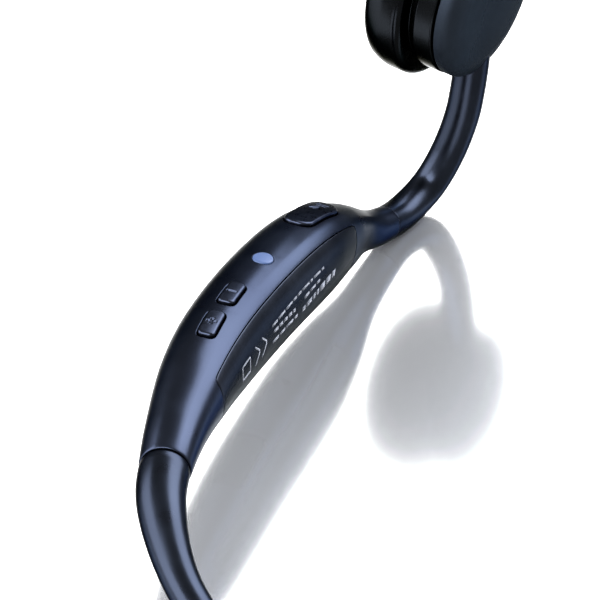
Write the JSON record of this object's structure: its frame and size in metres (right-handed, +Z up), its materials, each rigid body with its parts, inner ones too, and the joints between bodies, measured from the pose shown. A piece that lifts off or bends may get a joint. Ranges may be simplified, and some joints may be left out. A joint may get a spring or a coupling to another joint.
{
  "type": "bone conduction headphones",
  "caption": "Wireless bone conduction headphones: neckband, two pods with ear hooks and round temple transducers, push buttons, status light and a covered charging port.",
  "frame": {"origin": "centre of the bounding box's underside: on the surface that the ear hooks and the neckband's rear rest on, in the plane of symmetry", "axes": "+Z up as it lies, upside down on its ear hooks and neckband, +Y the wearer's forward, and -X the wearer's right side, which holds the controls"},
  "size_m": [0.144, 0.1442, 0.0541],
  "materials": {
    "satin_shell": "satin dark slate, fine moulded grain",
    "satin_cover": "satin dark slate, fine moulded grain",
    "soft_sleeve": "smooth satin silicone",
    "soft_pad": "matte soft silicone",
    "gloss_case": "semi-gloss black",
    "key_cap": "satin dark slate with raised symbols",
    "light_window": "translucent diffuser, pale blue",
    "titanium": "drawn titanium alloy wire",
    "steel": "plain steel",
    "magnet_plating": "nickel plated",
    "copper": "enamelled copper winding",
    "cable_jacket": "matte jacket",
    "circuit_board": "solder mask",
    "dark_plastic": "matte",
    "foam": "open-cell foam",
    "battery_pouch": "laminated foil pouch"
  },
  "bodies": {
    "headband": {"neckband_sleeve": "soft_sleeve", "neckband_wire": "titanium", "neckband_cable": "cable_jacket", "right_pod_housing": "satin_shell", "right_pod_cover": "satin_cover", "volume_up_switch": "dark_plastic", "volume_down_switch": "dark_plastic", "multifunction_switch": "dark_plastic", "status_light_window": "light_window", "status_led": "light_window", "microphone": "steel", "control_board": "circuit_board", "wireless_module": "steel", "board_screw_front": "steel", "board_screw_rear": "steel", "usb_socket": "steel", "right_ear_hook_sleeve": "soft_sleeve", "right_ear_hook_wire": "titanium", "right_ear_hook_cable": "cable_jacket", "right_transducer_case": "gloss_case", "right_transducer_ring": "gloss_case", "right_contact_pad": "soft_pad", "right_pad_plate": "dark_plastic", "right_voice_coil": "copper", "right_spring_plate": "steel"},
    "left_side": {"left_pod_housing": "satin_shell", "left_pod_cover": "satin_cover", "battery_cell": "battery_pouch", "battery_foam": "foam", "battery_protection_board": "circuit_board", "left_ear_hook_sleeve": "soft_sleeve", "left_ear_hook_wire": "titanium", "left_ear_hook_cable": "cable_jacket", "left_transducer_case": "gloss_case", "left_transducer_ring": "gloss_case", "left_contact_pad": "soft_pad", "left_pad_plate": "dark_plastic", "left_voice_coil": "copper", "left_spring_plate": "steel"},
    "volume_up_key": {"volume_up_button": "key_cap"},
    "volume_down_key": {"volume_down_button": "key_cap"},
    "multifunction_key": {"multifunction_button": "key_cap"},
    "charging_port_flap": {"port_flap": "soft_pad"},
    "right_driver": {"right_yoke": "steel", "right_magnet": "magnet_plating", "right_pole_plate": "steel"},
    "left_driver": {"left_yoke": "steel", "left_magnet": "magnet_plating", "left_pole_plate": "steel"}
  },
  "joints": [
    {"name": "neckband_flex", "type": "hinge", "parent": "headband", "child": "left_side", "pos_m": [0, -0.0696, 0.0025], "axis": [0, 0, -1], "range_deg": [-6, 28], "stiffness_Nm_per_rad": 0.4, "deforming": ["neckband_sleeve", "neckband_wire", "neckband_cable"]},
    {"name": "volume_up_press", "type": "slide", "parent": "headband", "child": "volume_up_key", "axis": [-0.0496, 0.02, -0.9986], "range_m": [0, 0.00035], "stiffness_N_per_m": 1500},
    {"name": "volume_down_press", "type": "slide", "parent": "headband", "child": "volume_down_key", "axis": [-0.0376, -0.0608, -0.9974], "range_m": [0, 0.00035], "stiffness_N_per_m": 1500},
    {"name": "multifunction_press", "type": "slide", "parent": "headband", "child": "multifunction_key", "axis": [-0.0531, -0.2865, -0.9566], "range_m": [0, 0.00035], "stiffness_N_per_m": 1500},
    {"name": "port_flap_hinge", "type": "hinge", "parent": "headband", "child": "charging_port_flap", "pos_m": [-0.06671, -0.00301, 0.00834], "axis": [0.9963, 0.024, -0.0823], "range_deg": [0, 100]},
    {"name": "right_driver_travel", "type": "slide", "parent": "headband", "child": "right_driver", "axis": [0.9823, -0.1556, -0.1045], "range_m": [-0.0002, 0.0002], "stiffness_N_per_m": 600},
    {"name": "left_driver_travel", "type": "slide", "parent": "left_side", "child": "left_driver", "axis": [-0.9823, -0.1556, -0.1045], "range_m": [-0.0002, 0.0002], "stiffness_N_per_m": 600}
  ]
}
